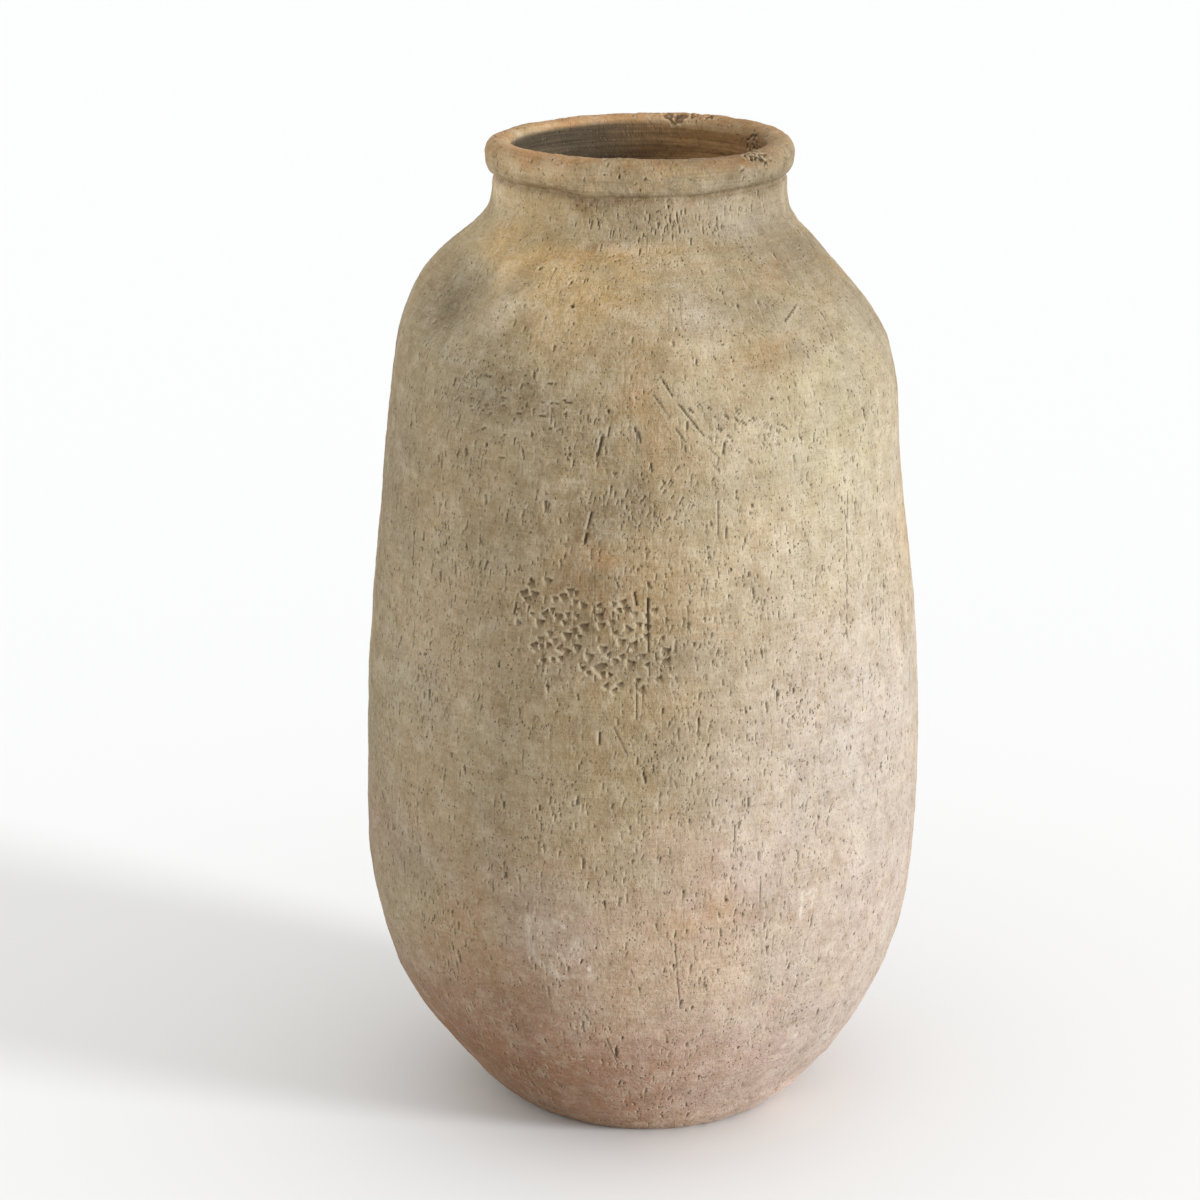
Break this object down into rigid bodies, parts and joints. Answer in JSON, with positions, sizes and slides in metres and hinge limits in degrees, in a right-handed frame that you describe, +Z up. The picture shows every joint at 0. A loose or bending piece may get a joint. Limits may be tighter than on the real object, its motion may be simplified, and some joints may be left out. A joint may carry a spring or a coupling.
{
  "type": "storage jar",
  "caption": "Tall handle-less terracotta storage jar with a barrel body, small flat foot, short neck and thick rolled lip around an open mouth.",
  "frame": {"origin": "centre of the flat underside of the foot, where the jar stands", "axes": "+Z up along the jar's centre line, -Y towards the front, +X to the front view's right"},
  "size_m": [0.4324, 0.4369, 0.7624],
  "materials": {
    "foot_clay": "unglazed coarse clay, dusty pink, pitted",
    "body_clay": "unglazed coarse clay, buff with olive stains, pitted by dragged grit",
    "neck_clay": "unglazed coarse clay, ochre and buff, worn on the lip"
  },
  "bodies": {
    "root": {"base_disc": "foot_clay", "foot_wall": "foot_clay", "lower_wall": "body_clay", "belly_wall": "body_clay", "upper_wall": "body_clay", "shoulder": "body_clay", "neck_collar": "neck_clay", "rim_coil": "neck_clay"}
  },
  "joints": []
}
